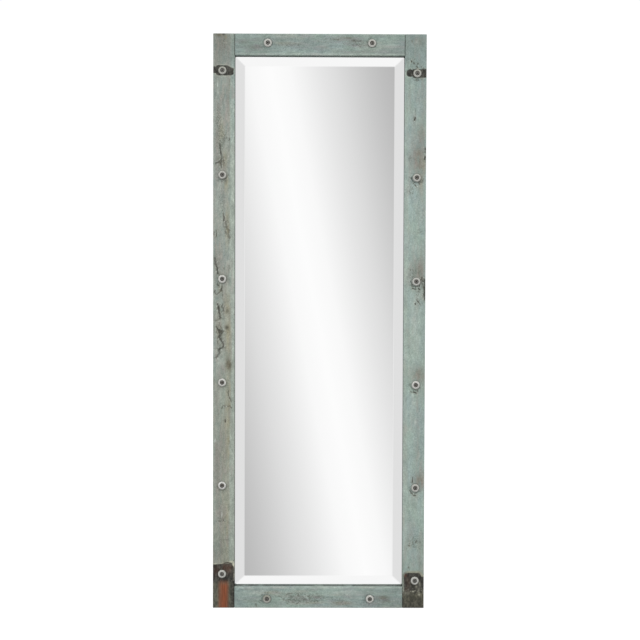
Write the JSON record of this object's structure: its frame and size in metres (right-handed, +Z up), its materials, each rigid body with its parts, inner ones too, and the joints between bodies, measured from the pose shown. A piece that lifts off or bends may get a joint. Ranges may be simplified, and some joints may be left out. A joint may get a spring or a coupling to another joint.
{
  "type": "dressing mirror",
  "caption": "Tall dressing mirror: bevelled glass in a frame of weathered grey-green painted boards fixed with cup washers and screws, strap hangers with swinging rings at the back.",
  "frame": {"origin": "middle of the bottom of the overall box, on the floor plane", "axes": "+Z up the mirror; -Y out of the glass towards the person; +X to the right of someone facing the glass"},
  "size_m": [0.61, 0.0472, 1.651],
  "materials": {
    "weathered_painted_wood": "old flaking grey-green paint",
    "planed_pine": "planed, unfinished",
    "bright_zinc_washer": "dull bright plating",
    "darkened_steel_screw": "oxidised dark",
    "zinc_plated_steel": "satin plating",
    "silvered_glass": "polished, bevelled",
    "black_foam_tape": "matt",
    "rubber_packer": "matt",
    "brown_hardboard": "smooth pressed face",
    "soft_rubber": "matt"
  },
  "bodies": {
    "frame": {"back_panel": "brown_hardboard", "bottom_batten": "planed_pine", "bottom_rail_board": "weathered_painted_wood", "clip_screws": "zinc_plated_steel", "corner_screws": "zinc_plated_steel", "cup_washers_bottom": "bright_zinc_washer", "cup_washers_left": "bright_zinc_washer", "cup_washers_right": "bright_zinc_washer", "cup_washers_top": "bright_zinc_washer", "face_screws_bottom": "darkened_steel_screw", "face_screws_left": "darkened_steel_screw", "face_screws_right": "darkened_steel_screw", "face_screws_top": "darkened_steel_screw", "glass_packers": "rubber_packer", "glazing_tape": "black_foam_tape", "hanger_screws_left": "zinc_plated_steel", "hanger_screws_right": "zinc_plated_steel", "hanger_strap_left": "zinc_plated_steel", "hanger_strap_right": "zinc_plated_steel", "left_batten": "planed_pine", "left_stile_board": "weathered_painted_wood", "mirror_glass": "silvered_glass", "panel_clips": "zinc_plated_steel", "right_batten": "planed_pine", "right_stile_board": "weathered_painted_wood", "top_batten": "planed_pine", "top_rail_board": "weathered_painted_wood", "wall_bumpers": "soft_rubber"},
    "left_ring": {"hanger_ring_left": "zinc_plated_steel"},
    "right_ring": {"hanger_ring_right": "zinc_plated_steel"}
  },
  "joints": [
    {"name": "left_ring_swing", "type": "hinge", "parent": "frame", "child": "left_ring", "pos_m": [-0.287, 0.0189, 1.321], "axis": [1, 0, 0], "range_deg": [0, 175]},
    {"name": "right_ring_swing", "type": "hinge", "parent": "frame", "child": "right_ring", "pos_m": [0.287, 0.0189, 1.321], "axis": [1, 0, 0], "range_deg": [0, 175]}
  ]
}
